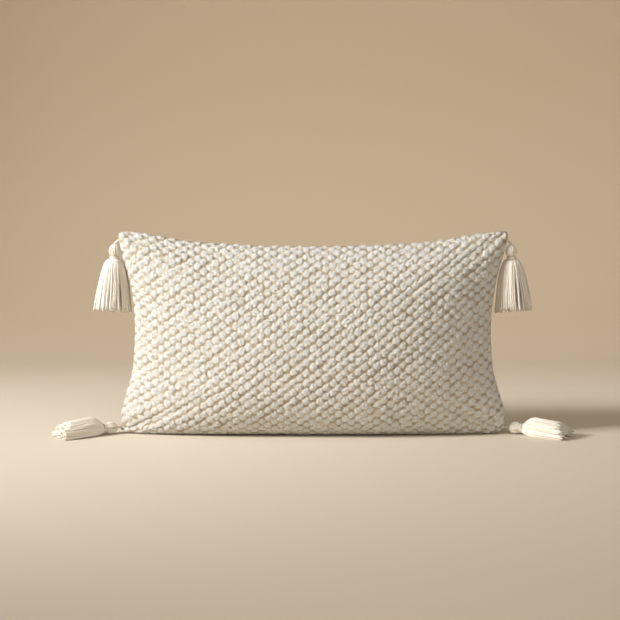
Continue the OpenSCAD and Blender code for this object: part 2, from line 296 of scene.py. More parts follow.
def finer(count):
    """The matrix that takes count points of a line to a Catmull-Rom curve, `fine` steps a span."""
    out = np.zeros(((count - 1) * fine + 1, count))
    for k in range(out.shape[0]):
        i = min(k // fine, count - 2)
        f = k / fine - i
        weights = (-f + 2 * f * f - f ** 3, 2 - 5 * f * f + 3 * f ** 3,
                   f + 4 * f * f - 3 * f ** 3, f ** 3 - f * f)
        for step, weight in zip((-1, 0, 1, 2), weights):
            j = i + step
            if j < 0:
                out[k, 0] += 2 * weight
                out[k, 1] -= weight
            elif j >= count:
                out[k, count - 1] += 2 * weight
                out[k, count - 2] -= weight
            else:
                out[k, j] += weight
    return out / 2


def smooth(low, high, x):
    """A soft step from 0 at low to 1 at high."""
    t = np.clip((x - low) / (high - low), 0, 1)
    return t * t * (3 - 2 * t)


def cloth_lengths(points):
    """Lengths along the cloth from the panel's middle, across and up, in mm."""
    across = np.linalg.norm(np.diff(points, axis=1), axis=-1)
    up = np.linalg.norm(np.diff(points, axis=0), axis=-1)
    s = np.concatenate([np.zeros((points.shape[0], 1)), np.cumsum(across, axis=1)], axis=1)
    t = np.concatenate([np.zeros((1, points.shape[1])), np.cumsum(up, axis=0)], axis=0)
    return s - s[:, points.shape[1] // 2][:, None], t - t[points.shape[0] // 2][None, :]


def from_edges(s, t):
    """How far each point is from a panel's nearest side edge, and from its top or foot."""
    return np.minimum(s - s[:, :1], s[:, -1:] - s), np.minimum(t - t[:1], t[-1:] - t)


def bobbles(s, t, seed):
    """Height of the knit over its cloth at cloth lengths s and t. Also a tone for each bobble and
    the place along and across its plies, which the yarn's twist follows."""
    draw = np.random.default_rng(seed)
    n = pattern_n
    jitter = draw.normal(0, bobble_jitter, (n, n, 2))
    size = draw.normal(1, 0.06, (n, n))
    high = np.clip(draw.normal(1, 0.12, (n, n)), 0.7, 1.25)
    turn = np.radians(np.where(draw.random((n, n)) < 0.7, 58, -40) + draw.normal(0, 22, (n, n)))
    shift = draw.uniform(-0.5, 0.5, (n, n))
    tone = draw.uniform(0, 1, (n, n))
    lobe_high = draw.uniform(0.74, 1.0, (n, n, loops))
    ribs = np.sin(2 * math.pi * s / 3.3) * np.sin(2 * math.pi * (t / 2.6 + 0.2 * s))
    best = knit_h * ground_share + ground_rib * ribs
    shade = np.full_like(s, 0.5)
    along = s.copy()
    across = t.copy()
    row = np.round(t / bobble_dy).astype(int)
    for step in (-1, 0, 1):
        j = row + step
        offset = np.where(j % 2, bobble_dx / 2, 0)
        i = np.round((s - offset) / bobble_dx).astype(int)
        at = (j % n, i % n)
        x = s - offset - i * bobble_dx - jitter[at][..., 0]
        y = t - j * bobble_dy - jitter[at][..., 1]
        # a bobble leans on its upper right neighbour, so the rows run that way
        lean_x = (x * bobble_lean[0] + y * bobble_lean[1]) / bobble_long
        lean_y = (-x * bobble_lean[1] + y * bobble_lean[0]) / bobble_wide
        angle = np.arctan2(y, x)
        wobble = 0.06 * np.cos(3 * angle + 9 * shift[at]) + 0.04 * np.cos(5 * angle + 7 * tone[at])
        r = np.hypot(lean_x, lean_y) / (bobble_r * size[at] * (1 + wobble))
        dome = np.maximum(0, 1 - r ** 2.4) ** 0.6 * high[at]
        lobes = np.zeros_like(s)
        lobe_along = np.zeros_like(s)
        lobe_across = np.zeros_like(s)
        for k in range(loops):
            # short loops of yarn that cross: one on top, and four set round it
            around = turn[at] + math.pi * k / 2 + 0.6 * shift[at]
            out = lobe_out * (k > 0)
            lie = turn[at] + 1.15 * k + 2 * shift[at]
            from_x = x - out * np.cos(around)
            from_y = y - out * np.sin(around)
            run = from_x * np.cos(lie) + from_y * np.sin(lie)
            side = from_y * np.cos(lie) - from_x * np.sin(lie)
            lobe = np.sqrt(np.maximum(0, 1 - (side / lobe_half) ** 2 - (run / lobe_long) ** 2))
            lobe = lobe * lobe_high[at][..., k]
            on_top = lobe > lobes
            lobes = np.where(on_top, lobe, lobes)
            lobe_along = np.where(on_top, run, lobe_along)
            lobe_across = np.where(on_top, side, lobe_across)
        relief = dome * (dome_share + lobe_share * lobes)
        height = knit_h * (ground_share + (1 - ground_share) * relief)
        taller = height > best
        best = np.where(taller, height, best)
        shade = np.where(taller, tone[at], shade)
        along = np.where(taller, lobe_along, along)
        across = np.where(taller, lobe_across, across)
    return best, shade, along, across


def fix_piece(piece, body, slot, *replaced):
    """A piece rides on its body and stands for its CAD nodes, if it has any. Its slot is not used.
    """
    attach(piece, body)
    if replaced:
        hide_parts(*replaced)


def add_piece(name, points, faces, material, body, slot, *replaced):
    """A finished piece from points in mm: a smooth mesh at the origin that rides on a body."""
    mesh = bpy.data.meshes.new(name)
    mesh.from_pydata((np.asarray(points) * MM).tolist(), [], faces)
    mesh.materials.append(material)
    mesh.shade_smooth()
    piece = bpy.data.objects.new(name, mesh)
    bpy.context.scene.collection.objects.link(piece)
    fix_piece(piece, body, slot, *replaced)
    return piece


def add_uv(piece, name, per_point):
    """A UV map from one value a point."""
    mesh = piece.data
    corner = np.zeros(len(mesh.loops), np.int32)
    mesh.loops.foreach_get("vertex_index", corner)
    layer = mesh.uv_layers.new(name=name)
    layer.uv.foreach_set("vector", np.asarray(per_point, np.float32)[corner].ravel())


def add_values(piece, name, values, kind="FLOAT"):
    """A named value, or a vector, at each point of a piece, which its material reads."""
    attribute = piece.data.attributes.new(name, kind, "POINT")
    attribute.data.foreach_set("value" if kind == "FLOAT" else "vector",
                               np.asarray(values, np.float32).ravel())


def new_material(name, **constants):
    """A node material with its Principled shader's fixed sockets set."""
    material = bpy.data.materials.new(name)
    material.use_nodes = True
    shader = material.node_tree.nodes["Principled BSDF"]
    for socket, value in constants.items():
        shader.inputs[socket.replace("_", " ")].default_value = value
    return material, material.node_tree.nodes, material.node_tree.links, shader


def new_effect(name, *outputs):
    """An empty node group that takes a place and a scale and puts out the named values."""
    group = bpy.data.node_groups.new(name, "ShaderNodeTree")
    group.interface.new_socket("Vector", in_out="INPUT", socket_type="NodeSocketVector")
    group.interface.new_socket("Scale", in_out="INPUT", socket_type="NodeSocketFloat")
    for output in outputs:
        group.interface.new_socket(output, in_out="OUTPUT", socket_type="NodeSocketFloat")
    return group, group.nodes.new("NodeGroupInput"), group.nodes.new("NodeGroupOutput")


# Fibres: the fine hairy grain of cotton yarn, shared by the knit, the tassels and the thread.
# It gives a tone and a height, both from 0 to 1.
fibres, fibres_in, fibres_out = new_effect("fibres", "Tone", "Height")
hair = fibres.nodes.new("ShaderNodeTexNoise")
hair.inputs["Detail"].default_value = 4
hair.inputs["Roughness"].default_value = 0.7
broad = fibres.nodes.new("ShaderNodeTexNoise")
broad.inputs["Scale"].default_value = 55
fibres.links.new(fibres_in.outputs["Vector"], hair.inputs["Vector"])
fibres.links.new(fibres_in.outputs["Scale"], hair.inputs["Scale"])
fibres.links.new(fibres_in.outputs["Vector"], broad.inputs["Vector"])
fibres.links.new(broad.outputs["Fac"], fibres_out.inputs["Tone"])
fibres.links.new(hair.outputs["Fac"], fibres_out.inputs["Height"])


def add_effect(nodes, links, effect, vector, scale):
    """A shared effect placed in a material; gives its two outputs."""
    group = nodes.new("ShaderNodeGroup")
    group.node_tree = effect
    group.inputs["Scale"].default_value = scale
    links.new(vector, group.inputs["Vector"])
    return group.outputs[0], group.outputs[1]


def object_place(nodes):
    return nodes.new("ShaderNodeTexCoord").outputs["Object"]


def read_value(nodes, name, output="Fac"):
    """What a piece's own attribute of this name holds."""
    attribute = nodes.new("ShaderNodeAttribute")
    attribute.attribute_name = name
    return attribute.outputs[output]


def math_node(nodes, links, operation, a, b=0):
    """Arithmetic on two values, each a number or another node's output."""
    node = nodes.new("ShaderNodeMath")
    node.operation = operation
    for socket, value in zip(node.inputs, (a, b)):
        if isinstance(value, (int, float)):
            socket.default_value = value
        else:
            links.new(value, socket)
    return node.outputs[0]


def times(nodes, links, a, b):
    return math_node(nodes, links, "MULTIPLY", a, b)


def mix_colour(nodes, links, share, a, b, blend="MIX"):
    """Colour a blended towards colour b by its share."""
    node = nodes.new("ShaderNodeMix")
    node.data_type = "RGBA"
    node.blend_type = blend
    for socket, value in ((node.inputs[0], share), (node.inputs[6], a), (node.inputs[7], b)):
        if isinstance(value, tuple):
            socket.default_value = (*value, 1)
        elif isinstance(value, (int, float)):
            socket.default_value = value
        else:
            links.new(value, socket)
    return node.outputs[2]


def add_bump(nodes, links, shader, height, strength, distance):
    """Relief from a height, as the shader's normal."""
    bump = nodes.new("ShaderNodeBump")
    bump.inputs["Strength"].default_value = strength
    bump.inputs["Distance"].default_value = distance
    links.new(height, bump.inputs["Height"])
    links.new(bump.outputs["Normal"], shader.inputs["Normal"])


def knit_finish():
    """Cream cotton with painted shade: darker and warmer down between the bobbles, with the plies'
    twist as bump.
    """
    material, nodes, links, shader = new_material(
        "knit_cotton", Roughness=0.86, Sheen_Weight=0.35, Sheen_Roughness=0.55,
        Specular_IOR_Level=0.25)
    tone, hairs = add_effect(nodes, links, fibres, object_place(nodes), 340)
    # the colour ramp paints shade by height: warm dark tan down in the pits, tan on the bobbles'
    # sides, cream on their tops
    ramp = nodes.new("ShaderNodeValToRGB")
    ramp.color_ramp.elements[0].position = ground_share
    ramp.color_ramp.elements[0].color = (*painted_pit_shade, 1)
    ramp.color_ramp.elements[1].position = cream_at
    ramp.color_ramp.elements[1].color = (*yarn_cream, 1)
    ramp.color_ramp.elements.new(groove_shade_at).color = (*groove_shade_and_speck_tan, 1)
    links.new(read_value(nodes, "height"), ramp.inputs["Fac"])
    warm = mix_colour(nodes, links, times(nodes, links, read_value(nodes, "shade"), 0.5),
                      (1, 1, 1), (0.94, 0.92, 0.89))
    toned = mix_colour(nodes, links, 1.0, ramp.outputs["Color"], warm, "MULTIPLY")
    mottled = mix_colour(nodes, links, times(nodes, links, tone, 0.2), toned, (0.82, 0.77, 0.69))
    specks = nodes.new("ShaderNodeMapRange")
    specks.inputs["From Min"].default_value = 0.52
    specks.inputs["From Max"].default_value = 0.34
    specks.inputs["To Max"].default_value = 0.45
    links.new(hairs, specks.inputs["Value"])
    links.new(mix_colour(nodes, links, specks.outputs[0], mottled, groove_shade_and_speck_tan),
              shader.inputs["Base Color"])
    split = nodes.new("ShaderNodeSeparateXYZ")
    links.new(read_value(nodes, "ply", "Vector"), split.inputs[0])
    slant = math_node(nodes, links, "ADD", times(nodes, links, split.outputs["X"], ply_twist[0]),
                      times(nodes, links, split.outputs["Y"], ply_twist[1]))
    twist = math_node(nodes, links, "SINE", slant)
    both = math_node(nodes, links, "ADD", times(nodes, links, twist, 0.22), hairs)
    add_bump(nodes, links, shader, both, 0.9, 0.0024)
    return material


def fan_wall(outer, inner):
    """Triangles between a fine edge loop and the coarse loop behind it."""
    faces = []
    for k in range(len(inner)):
        a, b = inner[k], inner[(k + 1) % len(inner)]
        run = [outer[(k * fine + m) % len(outer)] for m in range(fine + 1)]
        half = fine // 2
        faces += [(a, run[m + 1], run[m]) for m in range(half)]
        faces.append((a, b, run[half]))
        faces += [(b, run[m + 1], run[m]) for m in range(half, fine)]
    return faces


def outline(at):
    """Point numbers round a grid's edge, anticlockwise as seen from the front."""
    return np.concatenate([at[0, :-1], at[:-1, -1], at[-1, :0:-1], at[:0:-1, 0]]).tolist()


cotton_knit = knit_finish()
rows_up, cols_up = finer(rows + 1), finer(cols + 1)


def knitted_panel(name, cloth, back, seed):
    """A panel of knit on its cloth grid. Both are worked as a front, and the back one is turned."""
    if back:
        cloth = cloth * mirror_y
    base = np.einsum("ri,ijk,cj->rck", rows_up, cloth, cols_up)
    base[..., 1] = np.minimum(base[..., 1], 0)
    # along the zip the two lips part, and the cloth rises into a valley that hides the pull
    zipped = smooth(0, slot_fade, slot_half - abs(base[..., 0])) * (base[..., 2] < slot_zone)
    base[..., 1] -= lip * zipped * (1 - smooth(*lip_reach, -base[..., 1]))
    s, t = cloth_lengths(base)
    height, shade, along, across = bobbles(s, t, seed)
    height *= smooth(0, seam_fade, np.minimum(*from_edges(s, t)))
    knit = base + grid_normals(base) * height[..., None]
    knit[..., 1] = np.minimum(knit[..., 1], base[0, :, 1].max())
    # the corners stand out as full ears, less where a low tassel's head swings up
    from_side = abs(knit[..., 0]) / bag_high[0]
    up, top = knit[..., 2], bag_high[2]
    ear = (side_ear + low_ear * (1 - smooth(*low_ear_fade, up))
           + high_ear * smooth(top - high_ear_reach, top, up))
    ear -= cord_dent * smooth(*cord_dent_low, up) * (1 - smooth(*cord_dent_high, up))
    knit[..., 0] += np.sign(knit[..., 0]) * ear * smooth(*ear_reach, from_side)
    top_share = smooth(top - 40, top - 4, knit[..., 2])
    knit[..., 2] += top_ear * smooth(*top_ear_reach, from_side) * top_share
    knit[..., 2] = np.maximum(knit[..., 2], 0)
    rise = valley_rise * zipped * (1 - smooth(3.6, 9.5, -knit[..., 1]))
    knit[..., 2] = np.where(knit[..., 2] < valley_high, np.maximum(knit[..., 2], rise),
                            knit[..., 2])
    inner = cloth - lining_in * grid_normals(cloth)
    inner[..., 1] = np.minimum(inner[..., 1], -0.02 - lip * (inner[..., 2] < valley_high))
    inner[..., 2] = np.maximum(inner[..., 2], valley_rise)
    points = np.concatenate([knit.reshape(-1, 3), inner.reshape(-1, 3)])
    if back:
        points = points * mirror_y
    fine_at = np.arange(height.size).reshape(height.shape)
    inner_at = height.size + np.arange(inner.shape[0] * inner.shape[1]).reshape(inner.shape[:2])
    faces = quads(fine_at, back).tolist() + quads(inner_at, not back).tolist()
    wall = fan_wall(outline(fine_at), outline(inner_at))
    faces += [f[::-1] for f in wall] if back else wall
    panel = add_piece(f"{name}_knit", points, faces, cotton_knit, "pillow", "knit", name)
    rest = inner_at.size
    add_values(panel, "height", np.concatenate([height.ravel() / knit_h, np.full(rest, 0.3)]))
    add_values(panel, "shade", np.concatenate([shade.ravel(), np.full(rest, 0.5)]))
    ply = np.stack([along.ravel(), across.ravel(), np.zeros(along.size)], axis=1)
    add_values(panel, "ply", np.concatenate([ply, np.zeros((rest, 3))]), "FLOAT_VECTOR")
    # the knit takes most of the map, and its hidden back a strip beside it
    sheets = [np.stack(np.meshgrid(np.linspace(left, right, shape[1]), np.linspace(0, 1, shape[0])),
                       axis=-1).reshape(-1, 2)
              for left, right, shape in ((0, 0.93, height.shape), (0.95, 1, inner.shape[:2]))]
    add_uv(panel, "OFBake", np.concatenate(sheets))
    return base


knitted_panel("cover_front", cloth_front, False, 3)
knitted_panel("cover_back", cloth_back, True, 4)


# ---- Tassels -----------------------------------------------------------------------------------
# Each corner has a tassel of soft cotton yarn. Its strands are folded over a cord, bound at the
# neck and cut. The top two hang beside the pillow, and the low two lie on the ground, splayed.
yarn_white = (0.83, 0.805, 0.75)
strand_d = 2.7
strand_sides = 7
skirt_count = 170
head_over = 18
head_under = 15
layer_gap = 1.9
binding_r = 0.8
lay_pitch = 7
ply_out = 1.0
ply_r = 1.12
knot_size = 3.0
knot_in = 4
head_r = 9
head_len = 19
seat_drop = 1
neck_len = 3.2
neck_r = 5.6
hang_len = 80
hang_r = 30
lie_len = 74
lie_half = 26
lie_high = 29
lie_crest = 0.28
lie_settle = 9.5
lie_turn = math.radians(27)
hang_lean = math.radians(3)
hang_back = 0.09
hang_flare = 0.38
hang_flat = 0.86
hang_wave = 0.9
lie_flare = 0.55
lie_short = 15
lie_wave = 0.8
skirt_rings = 15
neck_at = seat_drop + head_len
skirt_at = neck_at + neck_len
pivots = {j["name"]: np.array(j["pos_m"]) / MM for j in frame["joints"] if j.get("pos_m")}
low_z = pivots["bottom_left_tassel_turn"][2]
low_head_r = low_z - 0.1
outer_share = 0.37
golden = 0.618034
twist_pitch = 0.0036


def yarn_finish():
    """Soft twisted cotton: the twist follows the strand. Painted shade darkens the twist's grooves,
    and strands are painted darker and warmer at random, standing in for the shade deep between
    the strands.
    """
    material, nodes, links, shader = new_material(
        "tassel_cotton", Roughness=0.84, Sheen_Weight=0.35, Sheen_Roughness=0.5,
        Specular_IOR_Level=0.25)
    tone, hairs = add_effect(nodes, links, fibres, object_place(nodes), 1300)
    strand = nodes.new("ShaderNodeUVMap")
    strand.uv_map = "strand"
    split = nodes.new("ShaderNodeSeparateXYZ")
    links.new(strand.outputs["UV"], split.inputs[0])
    round_strand = times(nodes, links, split.outputs["X"], 4 * math.pi)
    down_strand = times(nodes, links, split.outputs["Y"], 2 * math.pi / twist_pitch)
    slant = math_node(nodes, links, "ADD", round_strand, down_strand)
    twist = math_node(nodes, links, "SINE", slant)
    # painted shade: strands with a low shade value are painted a darker, warmer tan, standing in
    # for the shade between strands
    cream = mix_colour(nodes, links, read_value(nodes, "shade"), (0.70, 0.58, 0.43), yarn_white)
    # painted shade in the grooves of the twist
    ridge = math_node(nodes, links, "MULTIPLY_ADD", twist, 0.10)
    ridge.node.inputs[2].default_value = 0.12
    twist_groove_shade = mix_colour(nodes, links, ridge, cream, (0.68, 0.59, 0.46))
    mottled = mix_colour(nodes, links, times(nodes, links, tone, 0.15), twist_groove_shade, (0.80, 0.74, 0.64))
    links.new(mottled, shader.inputs["Base Color"])
    both = math_node(nodes, links, "ADD", times(nodes, links, twist, 0.5), hairs)
    add_bump(nodes, links, shader, both, 0.5, 0.0006)
    return material


cotton_yarn = yarn_finish()


def tubes(paths, radii, sides):
    """Closed tubes along paths, an array of strands by points by xyz. Gives points, faces and the
    strand UV: once round, and metres along."""
    strands_n, rings_n = paths.shape[:2]
    run = np.gradient(paths, axis=1)
    run /= np.maximum(np.linalg.norm(run, axis=-1, keepdims=True), 1e-9)
    side = np.cross(run, np.array([0.31, 0.87, 0.38]))
    side /= np.maximum(np.linalg.norm(side, axis=-1, keepdims=True), 1e-9)
    up = np.cross(run, side)
    a = np.linspace(0, 2 * math.pi, sides, endpoint=False)
    spoke = (side[:, :, None] * np.cos(a)[None, None, :, None]
             + up[:, :, None] * np.sin(a)[None, None, :, None])
    wall = paths[:, :, None] + spoke * radii[:, :, None, None]
    tips = paths[:, [0, -1]]
    points = np.concatenate([wall.reshape(-1, 3), tips.reshape(-1, 3)])
    at = np.arange(strands_n * rings_n * sides).reshape(strands_n, rings_n, sides)
    turn = np.roll(at, -1, axis=2)
    sleeve = np.stack([at[:, :-1], turn[:, :-1], turn[:, 1:], at[:, 1:]], axis=-1).reshape(-1, 4)
    tip_at = at.size + np.arange(strands_n * 2).reshape(strands_n, 2)
    near = np.stack([turn[:, 0], at[:, 0], np.repeat(tip_at[:, :1], sides, 1)], axis=-1)
    far = np.stack([at[:, -1], turn[:, -1], np.repeat(tip_at[:, 1:], sides, 1)], axis=-1)
    faces = sleeve.tolist() + near.reshape(-1, 3).tolist() + far.reshape(-1, 3).tolist()
    lengths = np.linalg.norm(np.diff(paths, axis=1), axis=-1)
    down = np.concatenate([np.zeros((strands_n, 1)), np.cumsum(lengths, axis=1)], axis=1) * MM
    down += twist_pitch * (np.arange(strands_n) * golden % 1)[:, None]
    round_by = np.broadcast_to(np.arange(sides) / sides, wall.shape[:3])
    along = np.broadcast_to(down[:, :, None], wall.shape[:3])
    uv = np.concatenate([np.stack([round_by.ravel(), along.ravel()], axis=1),
                         np.stack([np.full(strands_n * 2, 0.5), down[:, [0, -1]].ravel()], axis=1)])
    return points, faces, uv


def strand_piece(name, paths, radii, shades, body, slot, *replaced, sides=strand_sides,
                 material=cotton_yarn):
    """Strands as one piece. radii holds a radius for each point or one for all, and shades a tone
    for each strand."""
    radii = np.broadcast_to(radii, paths.shape[:2])
    points, faces, uv = tubes(paths, radii, sides)
    piece = add_piece(name, points, faces, material, body, slot, *replaced)
    add_uv(piece, "strand", uv)
    per_wall = np.repeat(shades, paths.shape[1] * sides)
    add_values(piece, "shade", np.concatenate([per_wall, np.repeat(shades, 2)]))


def head_strands(radius, count, draw):
    """Strands over the head, from the cord at the top down to the neck, evenly round it."""
    k = np.linspace(0, 1, 12)
    turn = np.radians(8 + 150 * k)
    down = seat_drop + head_len / 2 * (1 - np.cos(turn)) * 1.06
    out = np.sin(turn)
    tail = np.array([neck_at, skirt_at + 2])
    down = np.concatenate([down, tail])
    out = np.concatenate([out, [neck_r / radius, neck_r / radius]])
    around = 2 * math.pi * (np.arange(count) + draw.uniform(-0.25, 0.25, count)) / count
    sway = draw.normal(0, 0.04, (count, len(down)))
    a = around[:, None] + sway
    r = radius * (out[None, :] - strand_d / 2 / radius)
    return np.stack([r * np.cos(a), r * np.sin(a), np.broadcast_to(-down, a.shape)], axis=-1)


def skirt_shares(draw, least):
    """How far out each strand of a skirt lies, as a share of its radius. Many lie in the outer
    layer. Gives their number too."""
    share = np.sqrt(draw.uniform(least, 1, skirt_count))
    outer = int(outer_share * skirt_count)
    share[:outer] = draw.uniform(0.88, 1.0, outer)
    return share, outer


def hanging_strands(draw):
    """A hanging skirt: shoulders close under the neck, then a slow flare to uneven cut ends. Its
    strands gather into locks, so it has furrows."""
    share, outer = skirt_shares(draw, 0.10)
    around = 2 * math.pi * (np.arange(skirt_count) * golden % 1)
    around[:outer] = 2 * math.pi * (np.arange(outer) + draw.uniform(-0.3, 0.3, outer)) / outer
    locks = 0.12 * np.sin(11 * around + 2.0 * np.sin(3 * around + draw.uniform(0, 6)))
    length = hang_len * (1 + draw.normal(0, 0.018, skirt_count)) + 3 * np.sin(around)
    k = np.linspace(0, 1, skirt_rings)[None, :] ** 1.25
    down = length[:, None] * k
    open_by = neck_r + (hang_r - neck_r) * np.minimum(down / hang_len, 1.05) ** hang_flare
    a = around[:, None] + (locks[:, None] + draw.normal(0, 0.03, (skirt_count, 1))) * k ** 0.7
    wave = hang_wave * np.sin(5 * k + draw.uniform(0, 6.3, (skirt_count, 1))) * k
    r = share[:, None] * open_by + wave * 0.5 - strand_d / 2
    sway = wave / np.maximum(r, 4)
    a = a + sway
    return np.stack([r * np.cos(a), hang_flat * r * np.sin(a), -skirt_at - down], axis=-1)


def set_hanging(points, right):
    """From the tassel's own place, hanging from its pivot, to its place at a top corner."""
    c, s = math.cos(hang_lean), math.sin(hang_lean)
    x = c * points[..., 0] + s * points[..., 2]
    z = -s * points[..., 0] + c * points[..., 2]
    y = points[..., 1] - hang_back * z
    side = "right" if right else "left"
    return np.stack([-x if right else x, y, z], axis=-1) + pivots[f"top_{side}_tassel_swing"]


def lying_strands(draw):
    """A lying skirt: it bulges over the neck, settles towards its cut ends and spreads on the
    ground. Gives the distance from the pivot, sideways and height."""
    share, outer = skirt_shares(draw, 0.04)
    around = math.pi * draw.uniform(0, 1, skirt_count)
    around[:outer] = math.pi * (np.arange(outer) + draw.uniform(-0.3, 0.3, outer)) / outer
    a = share * np.cos(around)
    b = share * np.maximum(0, np.sin(around)) ** 0.8
    locks = 0.05 * np.sin(17 * around + 2 * np.sin(4 * around))
    length = lie_len * (1 + draw.normal(0, 0.03, skirt_count)) - lie_short * b ** 1.5
    k = np.linspace(0, 1, skirt_rings)[None, :] ** 1.1
    out = length[:, None] * k
    t = out / lie_len
    half = neck_r - 1 + (lie_half - neck_r) * np.minimum(t, 1.1) ** lie_flare
    bulge = np.sin(math.pi / 2 * np.minimum(1, t / lie_crest))
    top = (low_z + neck_r + (lie_high - low_z - neck_r) * bulge
           - lie_settle * np.maximum(0, t - lie_crest))
    foot = np.maximum(0, (low_z - neck_r) * (1 - 5 * t))
    wave = lie_wave * np.sin(6 * k + draw.uniform(0, 6.3, (skirt_count, 1))) * k
    sideways = (a[:, None] + locks[:, None] * k) * half + wave
    up = foot + strand_d / 2 + b[:, None] * (top - foot - strand_d) + 0.4 * wave * b[:, None]
    return np.stack([skirt_at + out, sideways, np.maximum(up, strand_d / 2)], axis=-1)


def set_lying(points, right):
    """From (out, sideways, height) to the place at a low corner, turned a little to the front."""
    c, s = math.cos(lie_turn), math.sin(lie_turn)
    side = "right" if right else "left"
    pivot = pivots[f"bottom_{side}_tassel_turn"]
    x = -points[..., 0] * c + points[..., 1] * s
    y = -points[..., 0] * s - points[..., 1] * c
    return np.stack([-x if right else x, y, points[..., 2] - pivot[2]], axis=-1) + pivot


def laid_down(points):
    """Hanging points tipped over to lie along the ground, as (out, sideways, height)."""
    return np.stack([-points[..., 2], points[..., 1], points[..., 0] + low_z], axis=-1)


def winding(radius, low, high, turns, steps=22):
    """A thread wound round the neck, from low to high, as one path."""
    k = np.linspace(0, 1, int(turns * steps) + 1)
    a = 2 * math.pi * turns * k
    down = low + (high - low) * k
    return np.stack([radius * np.cos(a), radius * np.sin(a), -down], axis=-1)[None]


def twisted_cord(start, end):
    """A short laid cord from start to end: its two plies wind round each other."""
    length = np.linalg.norm(end - start)
    run = (end - start) / length
    side = np.cross(run, [0, 1, 0])
    side /= np.linalg.norm(side)
    up = np.cross(run, side)
    k = np.linspace(0, 1, max(10, int(length / 0.7)))
    paths = []
    for ply in (0, 1):
        a = 2 * math.pi * (ply / 2 + k * length / lay_pitch)
        paths.append(start + run * (k * length)[:, None] + ply_out * (
            np.cos(a)[:, None] * side + np.sin(a)[:, None] * up))
    return np.stack(paths)


def overhand_knot(centre):
    """A pulled tight knot in a cord's end."""
    a = np.linspace(0, 2 * math.pi, 49)
    x = np.sin(a) + 2 * np.sin(2 * a)
    y = np.cos(a) - 2 * np.cos(2 * a)
    z = -np.sin(3 * a)
    return np.stack([1.1 * z, x, y], axis=-1)[None] * knot_size / 7.6 + centre


for number, corner in enumerate(("top_left", "top_right", "bottom_left", "bottom_right")):
    draw = np.random.default_rng(40 + number)
    right = corner.endswith("right")
    low = corner.startswith("bottom")
    label = f"tassel_{corner}"
    set_place = set_lying if low else set_hanging
    cord_pivot = pivots[f"{corner}_cord_lift"]
    head_pivot = pivots[f"{corner}_tassel_turn" if low else f"{corner}_tassel_swing"]
    # yarns: the skirt's strands, and the same yarn over the head
    radius = low_head_r if low else head_r
    heads = np.concatenate([head_strands(radius, head_over, draw),
                            head_strands(radius - layer_gap, head_under, draw)])
    skirt = lying_strands(draw) if low else hanging_strands(draw)
    heads = set_place(laid_down(heads) if low else heads, right)
    skirt = set_place(skirt, right)
    # a head strand's tail runs on into the skirt, to as many points as a skirt strand has
    pad = skirt.shape[1] - heads.shape[1]
    run_on = np.linspace(0.2, 0.6, pad)[None, :, None] * (heads[:, -1:] - heads[:, -2:-1])
    heads = np.concatenate([heads, np.repeat(heads[:, -1:], pad, 1) + run_on], axis=1)
    paths = np.concatenate([skirt, heads])
    radii = np.full(paths.shape[:2], strand_d / 2) * draw.uniform(0.9, 1.08, (len(paths), 1))
    radii[:, -1] *= 0.8
    # painted shade: each strand is drawn at random towards the darker tan
    shades = np.clip(draw.normal(0.75, 0.28, len(paths)), 0, 1)
    strand_piece(f"{label}_strands", paths, radii, shades, f"{corner}_tassel", "yarn",
                 f"{label}_yarns")
    # binding: thread wound tight round the neck
    wound = winding(neck_r + 0.9, neck_at - 0.2, skirt_at + 0.2, 3)
    wound = set_place(laid_down(wound) if low else wound, right)
    strand_piece(f"{label}_wound_binding", wound, binding_r, [0.8], f"{corner}_tassel", "yarn",
                 f"{label}_binding")
    # cord: two plies laid together, from the corner to the head
    strand_piece(f"{label}_laid_cord", twisted_cord(cord_pivot, head_pivot), ply_r, [0.85, 0.7],
                 f"{corner}_cord", "yarn", f"{label}_cord")
    # knot: the cord's end tied inside the corner of the bag
    knot_low, knot_high = box_mm(f"{label}_knot")
    inside = knot_low[0] + knot_in if right else knot_high[0] - knot_in
    centre = np.array([inside, 0, cord_pivot[2]])
    knot = overhand_knot(centre)
    tail = np.linspace(cord_pivot, centre, knot.shape[1])[None]
    strand_piece(f"{label}_tied_knot", np.concatenate([knot, tail]), np.array([[1.15], [1.6]]),
                 [0.8, 0.8], "pillow", "yarn", f"{label}_knot")


# ---- Cover seam --------------------------------------------------------------------------------
# The panels are sewn together just inside their edges with cotton thread, in short slanting
# stitches. It runs up both sides and along the top, and the zip closes the bottom edge.
stitch_pitch = 4.2
stitch_out = 0.5
stitch_lean = 0.3
stitch_r = 0.36
stitch_steps = 1100
knot_room = 5

cotton_thread = cotton_yarn.copy()
cotton_thread.name = "sewing_cotton"


def seam_runs(cloth, inset, closed):
    """The seam's runs between the corners, inset from a cloth's edge, as x, z points, with each
    point's sideways direction and length along. The right side comes first, then the top and the
    left side, and last the foot where it is closed."""
    up = slice(knot_room, rows + 1 - knot_room)
    over = slice(knot_room, cols + 1 - knot_room)
    lines = [cloth[up, -1], cloth[-1, over][::-1], cloth[up, 0][::-1]]
    lines += [cloth[0, over]] if closed else []
    runs = []
    for line in lines:
        line = line[:, [0, 2]]
        lengths = np.concatenate([[0], np.cumsum(np.linalg.norm(np.diff(line, axis=0), axis=1))])
        at = np.linspace(0, lengths[-1], stitch_steps)
        line = np.stack([np.interp(at, lengths, line[:, k]) for k in (0, 1)], axis=1)
        ahead = np.gradient(line, axis=0)
        ahead /= np.linalg.norm(ahead, axis=1, keepdims=True)
        aside = np.stack([-ahead[:, 1], ahead[:, 0]], axis=1)
        runs.append((line + inset * aside, aside, at))
    return runs


